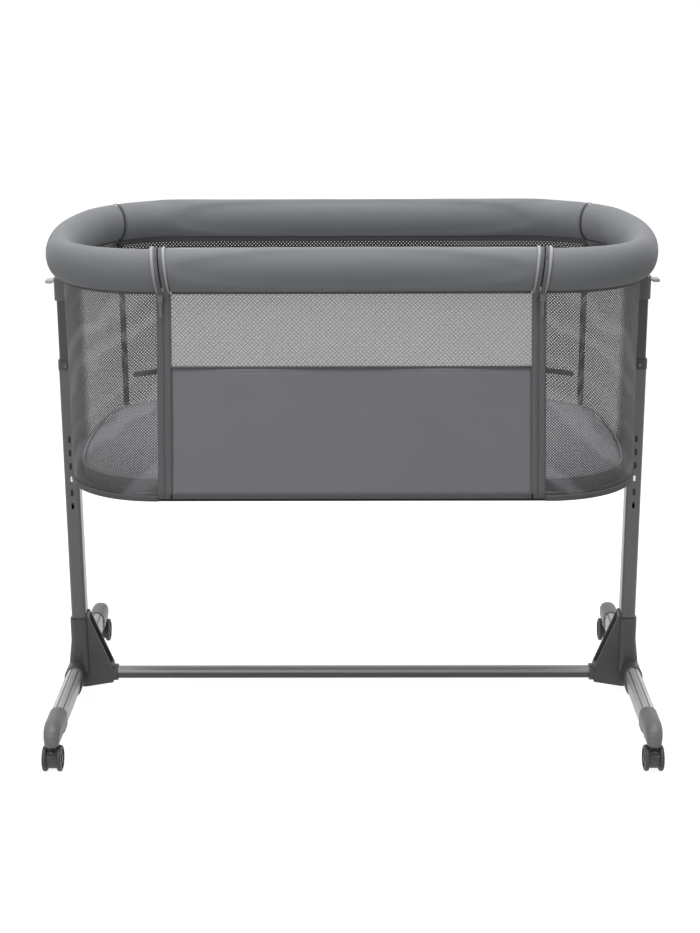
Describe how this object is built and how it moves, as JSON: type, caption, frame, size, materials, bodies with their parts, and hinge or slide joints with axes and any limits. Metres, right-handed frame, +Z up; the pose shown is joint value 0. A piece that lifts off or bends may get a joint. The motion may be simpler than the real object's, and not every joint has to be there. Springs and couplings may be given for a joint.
{
  "type": "bedside sleeper crib",
  "caption": "Wheeled bedside crib: padded mesh basket on two height-adjustable posts, with a zipped front side that folds down.",
  "frame": {"origin": "on the floor under the middle of the crib", "axes": "+X along the crib to its right end, +Y away from the bed side, +Z up"},
  "size_m": [0.952, 0.5694, 0.796],
  "materials": {
    "dark_steel": "satin powder coat",
    "silver_steel": "satin coated tube",
    "bare_steel": "bright",
    "dark_plastic": "fine moulded grain",
    "cap_plastic": "fine moulded grain",
    "wheel_plastic": "satin moulded",
    "lever_plastic": "fine moulded grain",
    "rail_fabric": "smooth padded cloth",
    "panel_fabric": "smooth woven cloth",
    "mesh_fabric": "open knitted mesh",
    "tape_fabric": "woven tape",
    "webbing": "woven webbing",
    "mattress_fabric": "knitted cover",
    "board": "hardboard",
    "zip_metal": "satin"
  },
  "bodies": {
    "base": {"crossbar": "silver_steel", "left_base_bracket": "dark_plastic", "left_outer_post": "dark_steel", "left_post_collar": "dark_plastic", "left_foot_bar": "silver_steel", "right_base_bracket": "dark_plastic", "right_outer_post": "dark_steel", "right_post_collar": "dark_plastic", "right_foot_bar": "silver_steel", "front_left_foot_cap": "cap_plastic", "front_right_foot_cap": "cap_plastic", "rear_left_foot_cap": "cap_plastic", "rear_right_foot_cap": "cap_plastic", "frame_screws": "bare_steel"},
    "front_left_caster": {"front_left_caster_fork": "wheel_plastic"},
    "front_left_wheels": {"front_left_caster_wheels": "wheel_plastic", "front_left_caster_axle": "bare_steel"},
    "front_left_brake": {"front_left_brake_pedal": "wheel_plastic"},
    "front_right_caster": {"front_right_caster_fork": "wheel_plastic"},
    "front_right_wheels": {"front_right_caster_wheels": "wheel_plastic", "front_right_caster_axle": "bare_steel"},
    "front_right_brake": {"front_right_brake_pedal": "wheel_plastic"},
    "rear_left_caster": {"rear_left_caster_fork": "wheel_plastic"},
    "rear_left_wheels": {"rear_left_caster_wheels": "wheel_plastic", "rear_left_caster_axle": "bare_steel"},
    "rear_right_caster": {"rear_right_caster_fork": "wheel_plastic"},
    "rear_right_wheels": {"rear_right_caster_wheels": "wheel_plastic", "rear_right_caster_axle": "bare_steel"},
    "basket": {"left_inner_post": "dark_steel", "left_post_head": "dark_plastic", "left_end_rail_tube": "silver_steel", "left_end_rail_cover": "rail_fabric", "left_end_mesh": "mesh_fabric", "left_end_band": "panel_fabric", "right_inner_post": "dark_steel", "right_post_head": "dark_plastic", "right_end_rail_tube": "silver_steel", "right_end_rail_cover": "rail_fabric", "right_end_mesh": "mesh_fabric", "right_end_band": "panel_fabric", "rear_rail_tube": "silver_steel", "rear_rail_cover": "rail_fabric", "rear_mesh": "mesh_fabric", "lower_frame": "silver_steel", "bottom_cloth": "panel_fabric", "base_board": "board", "mattress": "mattress_fabric", "zipper_tapes": "tape_fabric", "webbing_tabs": "webbing"},
    "drop_side": {"front_rail_tube": "silver_steel", "front_rail_cover": "rail_fabric", "front_mesh_window": "mesh_fabric", "front_fabric_panel": "panel_fabric"},
    "left_slider": {"left_zipper_slider": "zip_metal"},
    "left_lever": {"left_release_lever": "lever_plastic"},
    "left_latch": {"left_latch_pin": "bare_steel"},
    "right_slider": {"right_zipper_slider": "zip_metal"},
    "right_lever": {"right_release_lever": "lever_plastic"},
    "right_latch": {"right_latch_pin": "bare_steel"}
  },
  "joints": [
    {"name": "basket_height", "type": "slide", "parent": "base", "child": "basket", "axis": [0, 0, 1], "range_m": [-0.044, 0.066]},
    {"name": "drop_side_fold", "type": "hinge", "parent": "basket", "child": "drop_side", "pos_m": [0, -0.256, 0.43], "axis": [1, 0, 0], "range_deg": [0, 172]},
    {"name": "left_zipper", "type": "slide", "parent": "basket", "child": "left_slider", "axis": [0, 0, -1], "range_m": [0, 0.285]},
    {"name": "left_release", "type": "hinge", "parent": "basket", "child": "left_lever", "pos_m": [-0.452, 0, 0.7062], "axis": [0, -1, 0], "range_deg": [0, 8]},
    {"name": "left_latch_slide", "type": "slide", "parent": "basket", "child": "left_latch", "axis": [0, -1, 0], "range_m": [0, 0.0022], "stiffness_N_per_m": 800},
    {"name": "right_zipper", "type": "slide", "parent": "basket", "child": "right_slider", "axis": [0, 0, -1], "range_m": [0, 0.285]},
    {"name": "right_release", "type": "hinge", "parent": "basket", "child": "right_lever", "pos_m": [0.452, 0, 0.7062], "axis": [0, 1, 0], "range_deg": [0, 8]},
    {"name": "right_latch_slide", "type": "slide", "parent": "basket", "child": "right_latch", "axis": [0, -1, 0], "range_m": [0, 0.0022], "stiffness_N_per_m": 800},
    {"name": "front_left_swivel", "type": "hinge", "parent": "base", "child": "front_left_caster", "pos_m": [-0.4555, -0.251, 0.05], "axis": [0, 0, 1], "continuous": true},
    {"name": "front_left_roll", "type": "hinge", "parent": "front_left_caster", "child": "front_left_wheels", "pos_m": [-0.4555, -0.263, 0.02], "axis": [1, 0, 0], "continuous": true},
    {"name": "front_left_brake_press", "type": "hinge", "parent": "front_left_caster", "child": "front_left_brake", "pos_m": [-0.4555, -0.278, 0.0335], "axis": [1, 0, 0], "range_deg": [0, 15]},
    {"name": "front_right_swivel", "type": "hinge", "parent": "base", "child": "front_right_caster", "pos_m": [0.4555, -0.251, 0.05], "axis": [0, 0, 1], "continuous": true},
    {"name": "front_right_roll", "type": "hinge", "parent": "front_right_caster", "child": "front_right_wheels", "pos_m": [0.4555, -0.263, 0.02], "axis": [1, 0, 0], "continuous": true},
    {"name": "front_right_brake_press", "type": "hinge", "parent": "front_right_caster", "child": "front_right_brake", "pos_m": [0.4555, -0.278, 0.0335], "axis": [1, 0, 0], "range_deg": [0, 15]},
    {"name": "rear_left_swivel", "type": "hinge", "parent": "base", "child": "rear_left_caster", "pos_m": [-0.4555, 0.251, 0.05], "axis": [0, 0, 1], "continuous": true},
    {"name": "rear_left_roll", "type": "hinge", "parent": "rear_left_caster", "child": "rear_left_wheels", "pos_m": [-0.4555, 0.263, 0.02], "axis": [1, 0, 0], "continuous": true},
    {"name": "rear_right_swivel", "type": "hinge", "parent": "base", "child": "rear_right_caster", "pos_m": [0.4555, 0.251, 0.05], "axis": [0, 0, 1], "continuous": true},
    {"name": "rear_right_roll", "type": "hinge", "parent": "rear_right_caster", "child": "rear_right_wheels", "pos_m": [0.4555, 0.263, 0.02], "axis": [1, 0, 0], "continuous": true}
  ],
  "couplings": [
    {"joint": "left_release", "follows": "left_latch_slide", "rad_per_m": 63.4},
    {"joint": "right_release", "follows": "right_latch_slide", "rad_per_m": 63.4}
  ]
}
